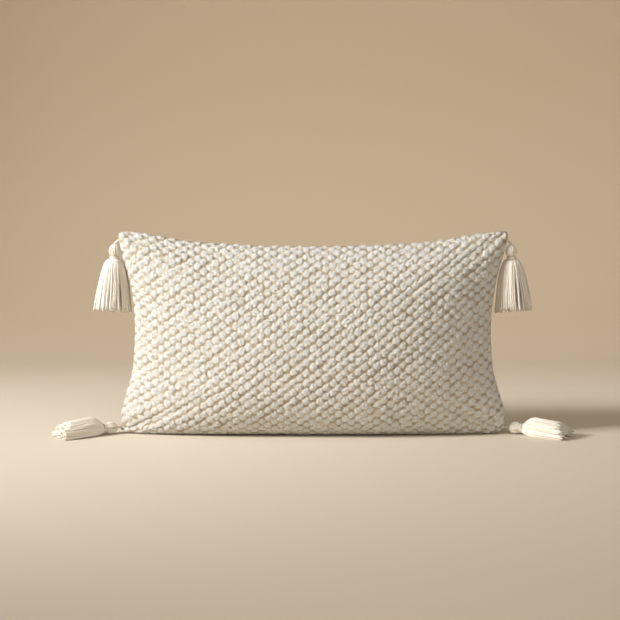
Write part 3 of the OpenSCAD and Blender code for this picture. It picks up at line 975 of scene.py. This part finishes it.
def sewn_thread(name, cloth, inset, closed, node):
    """Thread in slanting stitches along a seam: over the edges, through, and over again."""
    paths = []
    for line, aside, at in seam_runs(cloth, inset, closed):
        a = 2 * math.pi * at / stitch_pitch
        line = line + stitch_lean * np.cos(a)[:, None] * aside
        paths.append(np.stack([line[:, 0], stitch_out * np.sin(a), line[:, 1]], axis=1))
    strand_piece(name, np.stack(paths), stitch_r, [0.8] * len(paths), "pillow", "sewing_thread",
                 node, sides=6, material=cotton_thread)


sewn_thread("cover_seam_stitches", cloth_front, 4.1, False, "cover_seam_thread")


# ---- Zip ---------------------------------------------------------------------------------------
# A hidden zip closes the bottom edge: a woven tape sewn to each panel's lip, a nylon coil along
# each tape, a clamped stop at each end, and a slider whose flat pull lies in the valley below.
coil_pitch = 1.3
coil_wire = 0.34
coil_over = 1.1
coil_steps = 10
tape_cells = (240, 12)
tape_t = 0.44 * MM
tape_round = 0.1 * MM
tape_wave = 0.06
cord_edge = 1.2
cord_rise = 0.08
tape_stitch = 3.0
tape_stitch_r = 0.28
metal_round = 0.22 * MM

# Weave: plain woven threads. It gives a height and a mask of the gaps, both from 0 to 1. The
# tapes and the insert's cloth share it.
weave, weave_in, weave_out = new_effect("weave", "Height", "Gaps")
in_weave = (weave.nodes, weave.links)
threads = weave.nodes.new("ShaderNodeVectorMath")
threads.operation = "SCALE"
weave.links.new(weave_in.outputs["Vector"], threads.inputs[0])
weave.links.new(weave_in.outputs["Scale"], threads.inputs["Scale"])
lines = weave.nodes.new("ShaderNodeSeparateXYZ")
weave.links.new(threads.outputs["Vector"], lines.inputs[0])
warp = math_node(*in_weave, "SINE", lines.outputs["X"])
weft = math_node(*in_weave, "SINE", lines.outputs["Y"])
warp_over = math_node(*in_weave, "GREATER_THAN", times(*in_weave, warp, weft))
warp_high = math_node(*in_weave, "ABSOLUTE", warp)
weft_high = math_node(*in_weave, "ABSOLUTE", weft)
upper = times(*in_weave, warp_over, warp_high)
lower = times(*in_weave, math_node(*in_weave, "SUBTRACT", 1, warp_over), weft_high)
both_low = math_node(*in_weave, "MINIMUM", warp_high, weft_high)
weave.links.new(math_node(*in_weave, "ADD", upper, lower), weave_out.inputs["Height"])
weave.links.new(math_node(*in_weave, "LESS_THAN", both_low, 0.22), weave_out.inputs["Gaps"])


def mix_value(nodes, links, share, a, b):
    """A value from a to b by its share."""
    node = nodes.new("ShaderNodeMapRange")
    node.inputs["To Min"].default_value = a
    node.inputs["To Max"].default_value = b
    links.new(share, node.inputs["Value"])
    return node.outputs[0]


def cloth_finish(name, scale, colour, gap_shade_and_patch_colour, coordinates, bump, **constants):
    """Woven cloth: threads in relief, painted shade darkening the gaps between them, and broad
    uneven patches.
    """
    material, nodes, links, shader = new_material(name, Sheen_Weight=0.2, Sheen_Roughness=0.5,
                                                  Specular_IOR_Level=0.3, **constants)
    if coordinates == "Object":
        place = object_place(nodes)
    else:
        map_node = nodes.new("ShaderNodeUVMap")
        map_node.uv_map = coordinates
        place = map_node.outputs["UV"]
    tone, hairs = add_effect(nodes, links, fibres, place, 1500)
    height, gaps = add_effect(nodes, links, weave, place, scale)
    # painted shade: the gaps between the threads are darkened; the same darker colour also tints
    # the broad patches
    thread_colour = mix_colour(nodes, links, times(nodes, links, gaps, 0.45), colour, gap_shade_and_patch_colour)
    patches = times(nodes, links, tone, 0.25)
    links.new(mix_colour(nodes, links, patches, thread_colour, gap_shade_and_patch_colour),
              shader.inputs["Base Color"])
    links.new(mix_value(nodes, links, height, 0.92, 0.78), shader.inputs["Roughness"])
    both = math_node(nodes, links, "ADD", height, times(nodes, links, hairs, 0.3))
    add_bump(nodes, links, shader, both, 0.6, bump)
    return material


def nylon_finish():
    """Moulded nylon wire: cream, satin, slightly uneven from turn to turn."""
    material, nodes, links, shader = new_material("coil_nylon", Specular_IOR_Level=0.5,
                                                  Coat_Roughness=0.3)
    tone, grain = add_effect(nodes, links, fibres, object_place(nodes), 700)
    links.new(mix_colour(nodes, links, tone, (0.83, 0.78, 0.68), (0.74, 0.67, 0.55)),
              shader.inputs["Base Color"])
    links.new(mix_value(nodes, links, grain, 0.32, 0.5), shader.inputs["Roughness"])
    add_bump(nodes, links, shader, grain, 0.2, 0.0001)
    return material


def metal_finish():
    """Brushed zinc alloy: fine lines along the part, with worn and duller patches."""
    material, nodes, links, shader = new_material("zip_zinc", Metallic=1.0)
    place = object_place(nodes)
    stretch = nodes.new("ShaderNodeVectorMath")
    stretch.operation = "MULTIPLY"
    stretch.inputs[1].default_value = (60, 2600, 2600)
    links.new(place, stretch.inputs[0])
    brushed = nodes.new("ShaderNodeTexNoise")
    brushed.inputs["Scale"].default_value = 1
    links.new(stretch.outputs["Vector"], brushed.inputs["Vector"])
    patch = nodes.new("ShaderNodeTexNoise")
    patch.inputs["Scale"].default_value = 260
    links.new(place, patch.inputs["Vector"])
    lines = brushed.outputs["Fac"]
    links.new(mix_colour(nodes, links, patch.outputs["Fac"], (0.72, 0.69, 0.62),
                         (0.52, 0.48, 0.41)), shader.inputs["Base Color"])
    links.new(mix_value(nodes, links, lines, 0.24, 0.46), shader.inputs["Roughness"])
    add_bump(nodes, links, shader, lines, 0.25, 0.00005)
    return material


def select_only(piece):
    bpy.ops.object.select_all(action="DESELECT")
    piece.select_set(True)
    bpy.context.view_layer.objects.active = piece


def apply_modifier(piece, kind, **settings):
    """Add a modifier with its settings and apply it."""
    modifier = piece.modifiers.new(kind.lower(), kind)
    for setting, value in settings.items():
        setattr(modifier, setting, value)
    select_only(piece)
    bpy.ops.object.modifier_apply(modifier=modifier.name)


tape_cloth = cloth_finish("tape_weave", 2 * math.pi / 0.0016, (0.80, 0.74, 0.63),
                          (0.60, 0.52, 0.40), "Object", 0.0002)
coil_nylon = nylon_finish()
zinc = metal_finish()


def zip_tape(name, node, inner_side):
    """A woven tape with a thicker corded edge beside the coil."""
    low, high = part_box(node)
    centre = [(a + b) / 2 for a, b in zip(low, high)]
    bpy.ops.mesh.primitive_grid_add(x_subdivisions=tape_cells[0], y_subdivisions=tape_cells[1],
                                    size=1, location=centre)
    tape = bpy.context.object
    tape.name = name
    tape.data.name = name
    tape.scale = (high[0] - low[0], high[1] - low[1], 1)
    bpy.ops.object.transform_apply(location=True, rotation=True, scale=True)
    places = np.zeros(len(tape.data.vertices) * 3)
    tape.data.vertices.foreach_get("co", places)
    places = places.reshape(-1, 3)
    reach = abs(places[:, 1] - (high[1] if inner_side > 0 else low[1])) / MM
    wave = tape_wave * np.sin(places[:, 0] / MM * 0.7)
    places[:, 2] += MM * (wave - cord_rise * (reach < cord_edge))
    tape.data.vertices.foreach_set("co", places.ravel())
    apply_modifier(tape, "SOLIDIFY", thickness=tape_t, offset=0)
    apply_modifier(tape, "BEVEL", width=tape_round, segments=2)
    tape.data.materials.append(tape_cloth)
    tape.data.shade_smooth()
    fix_piece(tape, "pillow", "zip_tape", node)


def zip_coil(name, node, inner_side, phase):
    """A coil of nylon wire along the tape's edge. Its heads reach over the seam's middle, and the
    other coil's heads sit half a turn along between them."""
    low, high = box_mm(node)
    centre = (low + high) / 2
    turns = (high[0] - low[0] - 1) / coil_pitch
    k = np.linspace(0, 1, int(turns * coil_steps))
    a = 2 * math.pi * (turns * k + phase)
    half_y = (high[1] - low[1]) / 2 - coil_wire
    half_z = (high[2] - low[2]) / 2 - coil_wire
    heads = centre[1] + inner_side * coil_over * (0.5 + 0.5 * inner_side * np.cos(a))
    path = np.stack([low[0] + 0.5 + (high[0] - low[0] - 1) * k, heads + half_y * np.cos(a),
                     centre[2] + half_z * np.sin(a)], axis=1)[None]
    strand_piece(name, path, coil_wire, [0.8], "pillow", "zip_coil", node, sides=6,
                 material=coil_nylon)


def metal_part(name, node, body):
    """A zip's metal part with its edges rounded off."""
    source = bpy.data.objects[node]
    piece = source.copy()
    piece.data = source.data.copy()
    piece.name = name
    piece.data.name = name
    bpy.context.scene.collection.objects.link(piece)
    place = source.matrix_world.copy()
    piece.parent = None
    piece.data.transform(place)
    piece.matrix_world = Matrix.Identity(4)
    piece.hide_render = piece.hide_viewport = False
    select_only(piece)
    bpy.ops.object.mode_set(mode="EDIT")
    bpy.ops.mesh.select_all(action="SELECT")
    bpy.ops.mesh.remove_doubles(threshold=0.00001)
    bpy.ops.mesh.dissolve_limited(angle_limit=math.radians(1))
    bpy.ops.object.mode_set(mode="OBJECT")
    apply_modifier(piece, "BEVEL", width=metal_round, segments=2, limit_method="ANGLE",
                   angle_limit=math.radians(40), harden_normals=False)
    piece.data.materials.clear()
    piece.data.materials.append(zinc)
    bpy.ops.object.shade_smooth_by_angle(angle=math.radians(35))
    fix_piece(piece, body, "zip_metal", node)


for side, inner_side in (("front", 1), ("back", -1)):
    zip_tape(f"zip_{side}_woven_tape", f"zipper_tape_{side}", inner_side)
    zip_coil(f"zip_{side}_nylon_coil", f"zipper_coil_{side}", inner_side, 0.25 * (1 - inner_side))
# a line of running stitches holds each tape to its panel's lip
tape_low, tape_high = box_mm("zipper_tape_front")
sewn_x = np.linspace(tape_low[0] + 2, tape_high[0] - 2, 3200)
over_under = np.clip(2.2 * np.sin(2 * math.pi * sewn_x / tape_stitch), -1, 1)
sewn_z = (tape_low[2] + tape_high[2]) / 2 + 0.42 * over_under
tape_lines = np.stack([np.stack([sewn_x, np.full_like(sewn_x, y), sewn_z], axis=1)
                       for y in (tape_low[1] + 3, -tape_low[1] - 3)])
strand_piece("zip_tape_stitches", tape_lines, tape_stitch_r, [0.8, 0.8], "pillow",
             "sewing_thread", sides=6, material=cotton_thread)
for name, node, body in (("zip_left_clamped_stop", "zipper_stop_left", "pillow"),
                         ("zip_right_clamped_stop", "zipper_stop_right", "pillow"),
                         ("zip_cast_slider", "zipper_slider", "zip_slider"),
                         ("zip_flat_pull", "zipper_pull", "zip_pull")):
    metal_part(name, node, body)


# ---- Insert ------------------------------------------------------------------------------------
# Inside the cover sits a loose insert: two panels of plain woven cotton sewn right round, and
# puckered along the seam. Curly polyester fibre in soft clumps fills it tight.
insert_in = 2.6
lining_t = 0.9
fill_in = 1.6
clump = 3.4
pucker = 0.9
pucker_pitch = 17
pucker_reach = 16
corner_back = 15
corner_x = 0.78
corner_z = 0.72
corner_flat = 0.25
foot_gap = 0.4
face_gap = 1.6
clump_waves = 40
rim_in = np.array([0.975, 1, 0.95])
insert_low, insert_high = box_mm("insert_front")


def insert_cloth():
    """The insert's front as a grid: the cover's form, drawn in to the insert's size, with its
    corners rounder so that the tassels' knots have room."""
    form = cloth_front.copy()
    mid_z = (insert_low[2] + insert_high[2]) / 2
    low, high = form.reshape(-1, 3).min(axis=0), form.reshape(-1, 3).max(axis=0)
    form[..., 0] *= (insert_high[0] - insert_in) / high[0]
    form[..., 1] *= (-insert_low[1] - insert_in - face_gap) / -low[1]
    up = (form[..., 2] - low[2]) / (high[2] - low[2])
    foot = insert_low[2] + foot_gap
    form[..., 2] = foot + up * (insert_high[2] - insert_in - foot)
    corner = (smooth(corner_x, 1, abs(form[..., 0]) / insert_high[0])
              * smooth(corner_z, 1, abs(form[..., 2] - mid_z) / (insert_high[2] - mid_z)))
    form[..., 0] -= corner_back * corner * np.sign(form[..., 0])
    form[..., 2] -= 0.7 * corner_back * corner * np.sign(form[..., 2] - mid_z)
    form[..., 1] *= 1 - corner_flat * corner
    return form


def half_fine(grid):
    """A coarse grid as a smooth one, two steps to a cell."""
    return np.einsum("ri,ijk,cj->rck", rows_up[::4], grid, cols_up[::4])


def lining_panel(name, form, back):
    """A panel of the insert's cloth, puckered by its seam."""
    outer = half_fine(form)
    outer[..., 1] = np.minimum(outer[..., 1], 0)
    s, t = cloth_lengths(outer)
    from_side, from_end = from_edges(s, t)
    edge = np.minimum(from_side, from_end)
    along = np.where(from_side < from_end, t, s)
    folds = np.sin(2 * math.pi * along / pucker_pitch + 0.9 * np.sin(along / 31)) - 1
    folds *= pucker * np.exp(-edge / pucker_reach) * smooth(0, 3, edge)
    faces_out = grid_normals(outer)
    outer = outer + faces_out * folds[..., None]
    inner = outer - lining_t * faces_out * smooth(0, 2, edge)[..., None]
    inner[..., 1] = np.minimum(inner[..., 1], -0.02)
    inner = inner - np.array([1, 0, 0]) * (edge < 1)[..., None] * np.sign(inner[..., :1]) * lining_t
    inner[..., 2] = np.clip(inner[..., 2], outer[..., 2].min() + lining_t,
                            outer[..., 2].max() - lining_t)
    points = np.concatenate([outer.reshape(-1, 3), inner.reshape(-1, 3)])
    at = np.arange(s.size).reshape(s.shape)
    loop, inner_loop = outline(at), outline(at + s.size)
    count = len(loop)
    wall = [(loop[k], inner_loop[k], inner_loop[(k + 1) % count], loop[(k + 1) % count])
            for k in range(count)]
    if back:
        points = points * mirror_y
        wall = [f[::-1] for f in wall]
    faces = quads(at, back).tolist() + quads(at + s.size, not back).tolist() + wall
    panel = add_piece(f"{name}_lining", points, faces, lining_cotton, "pillow", "lining", name)
    flat = np.stack([s.ravel(), t.ravel()], axis=1) * MM
    add_uv(panel, "cloth", np.concatenate([flat, flat]))


def fill_finish():
    """Curly polyester fibre: white, matt and soft, with fine strands and shaded hollows."""
    material, nodes, links, shader = new_material("curly_fibre", Roughness=0.9, Sheen_Weight=0.4,
                                                  Subsurface_Weight=0.1)
    place = object_place(nodes)
    tone, hairs = add_effect(nodes, links, fibres, place, 240)
    curls = nodes.new("ShaderNodeTexNoise")
    curls.inputs["Scale"].default_value = 420
    curls.inputs["Distortion"].default_value = 2.5
    links.new(place, curls.inputs["Vector"])
    links.new(mix_colour(nodes, links, tone, (0.90, 0.90, 0.88), (0.80, 0.79, 0.75)),
              shader.inputs["Base Color"])
    add_bump(nodes, links, shader, math_node(nodes, links, "ADD", hairs, curls.outputs["Fac"]),
             0.7, 0.0015)
    return material


lining_cotton = cloth_finish("insert_weave", math.pi / 0.0006, (0.87, 0.85, 0.80),
                             (0.72, 0.69, 0.62), "cloth", 0.00015)
insert_form = insert_cloth()
lining_panel("insert_front", insert_form, False)
lining_panel("insert_back", insert_form, True)
sewn_thread("insert_seam_stitches", insert_form, 2.6, True, "insert_seam_thread")

# filling: one stuffed mass, its two sides joined round the edge
stuffing = insert_form - (lining_t + fill_in + pucker) * grid_normals(insert_form)
middle = np.array([0, 0, (insert_low[2] + insert_high[2]) / 2])
stuffing[ring] = middle + (insert_form[ring] - middle) * rim_in
stuffing[..., 1] = np.minimum(stuffing[..., 1], 0)
stuffing[ring, 1] = 0
soft = half_fine(stuffing)
soft_s, soft_t = cloth_lengths(soft)
from_rim = np.minimum(*from_edges(soft_s, soft_t))


def clumped(seed):
    """One side of the filling, with hollows between its clumps, worked as a front."""
    draw = np.random.default_rng(seed)
    hollow = np.zeros_like(soft_s)
    for _ in range(clump_waves):
        across, up, phase = draw.uniform((-0.16, -0.16, 0), (0.16, 0.16, 6.3))
        hollow += np.sin(across * soft_s + up * soft_t + phase)
    hollow = clump * np.clip(0.5 + hollow / 12, 0, 1) * smooth(2, 20, from_rim)
    side = soft - grid_normals(soft) * hollow[..., None]
    side[..., 1] = np.minimum(side[..., 1], 0)
    return side


fill_at = np.arange(soft_s.size).reshape(soft_s.shape)
rim = np.zeros(soft_s.shape, bool)
rim[[0, -1]] = rim[:, [0, -1]] = True
fill_behind = fill_at + soft_s.size
fill_behind[rim] = fill_at[rim]
fill_points = np.concatenate([clumped(21).reshape(-1, 3), (clumped(22) * mirror_y).reshape(-1, 3)])
fill_faces = np.concatenate([quads(fill_at, False), quads(fill_behind, True)])
used, fill_faces = np.unique(fill_faces, return_inverse=True)
filling = add_piece("curly_fibre_fill", fill_points[used], fill_faces.reshape(-1, 4).tolist(),
                    fill_finish(), "pillow", "filling", "fibre_fill")


# ---- Studio ------------------------------------------------------------------------------------
# A pale seamless sweep, a large soft light from the upper left and the front, and a weak fill.
view_elevation = math.radians(7)
view_distance = 3.2
view_aim = Vector((-0.0046, 0, 0.191))
view_width = 0.9486
sweep_near = -4.2
sweep_back = 0.72
sweep_round = 0.55
sweep_high = 4.0
sweep_half = 5.0
floor_colour = (0.69, 0.61, 0.505)
wall_colour = (0.59, 0.47, 0.335)

profile = [(sweep_near, 0.0), (-1.5, 0.0), (0.0, 0.0), (sweep_back, 0.0)]
profile += [(sweep_back + sweep_round * math.sin(a), sweep_round * (1 - math.cos(a)))
            for a in np.radians(np.arange(6, 90, 6))]
profile += [(sweep_back + sweep_round, sweep_round), (sweep_back + sweep_round, sweep_high)]
sweep_mesh = bpy.data.meshes.new("sweep")
sweep_mesh.from_pydata([(x, y, z) for y, z in profile for x in (-sweep_half, sweep_half)], [],
                       [(2 * k, 2 * k + 1, 2 * k + 3, 2 * k + 2) for k in range(len(profile) - 1)])
sweep_mesh.shade_smooth()
sweep = bpy.data.objects.new("sweep", sweep_mesh)
bpy.context.scene.collection.objects.link(sweep)
paper, nodes, links, shader = new_material("sweep_paper", Roughness=0.75, Specular_IOR_Level=0.2)
paper_place = nodes.new("ShaderNodeSeparateXYZ")
links.new(object_place(nodes), paper_place.inputs[0])
back_share = nodes.new("ShaderNodeMapRange")
back_share.inputs["From Min"].default_value = 0.40
back_share.inputs["From Max"].default_value = 1.0
links.new(paper_place.outputs["Y"], back_share.inputs["Value"])
links.new(mix_colour(nodes, links, back_share.outputs[0], floor_colour, wall_colour),
          shader.inputs["Base Color"])
# the backdrop is clear from behind, for a look at the object's back
clear = nodes.new("ShaderNodeBsdfTransparent")
seen_behind = times(nodes, links, nodes.new("ShaderNodeNewGeometry").outputs["Backfacing"],
                    nodes.new("ShaderNodeLightPath").outputs["Is Camera Ray"])
either = nodes.new("ShaderNodeMixShader")
links.new(seen_behind, either.inputs[0])
links.new(shader.outputs[0], either.inputs[1])
links.new(clear.outputs[0], either.inputs[2])
links.new(either.outputs[0], nodes["Material Output"].inputs["Surface"])
sweep_mesh.materials.append(paper)


def soft_light(name, place, aim, size, power, colour):
    """A square soft light at a place, turned to its aim."""
    light = bpy.data.lights.new(name, "AREA")
    light.size = size
    light.energy = power
    light.color = colour
    lamp = bpy.data.objects.new(name, light)
    bpy.context.scene.collection.objects.link(lamp)
    lamp.location = place
    lamp.rotation_mode = "QUATERNION"
    lamp.rotation_quaternion = (Vector(aim) - Vector(place)).to_track_quat("-Z", "Y")
    return lamp


key = soft_light("key", (-2.62, -0.95, 1.50), (0.1, 0.22, 0.15), 0.7, 16.6, (1.0, 1.0, 0.99))
key.data.spread = math.radians(60)
soft_light("fill", (0.9, -3.0, 1.5), (0.0, 0.0, 0.2), 2.2, 24, (1.0, 0.95, 0.87))
soft_light("wall_wash", (0.15, -0.2, 2.6), (0.1, 1.27, 0.6), 1.0, 3, (1.0, 0.98, 0.95))
soft_light("floor_bounce", (0.0, -1.3, 0.04), (0.0, 0.0, 0.02), 0.8, 1.0, (1.0, 0.78, 0.50))
world = bpy.data.worlds.new("studio")
bpy.context.scene.world = world
world.use_nodes = True
room_light = world.node_tree.nodes["Background"].inputs
room_light["Color"].default_value = (1.0, 0.92, 0.80, 1)
room_light["Strength"].default_value = 0.26

lens = bpy.data.cameras.new("camera")
camera = bpy.data.objects.new("camera", lens)
bpy.context.scene.collection.objects.link(camera)
bpy.context.scene.camera = camera
lens.lens = lens.sensor_width * view_distance / view_width
back = Vector((0, -math.cos(view_elevation), math.sin(view_elevation)))
camera.location = view_aim + back * view_distance
camera.rotation_mode = "QUATERNION"
camera.rotation_quaternion = (-back).to_track_quat("-Z", "Y")
lens.clip_end = 60
bpy.context.scene.view_settings.view_transform = "Standard"
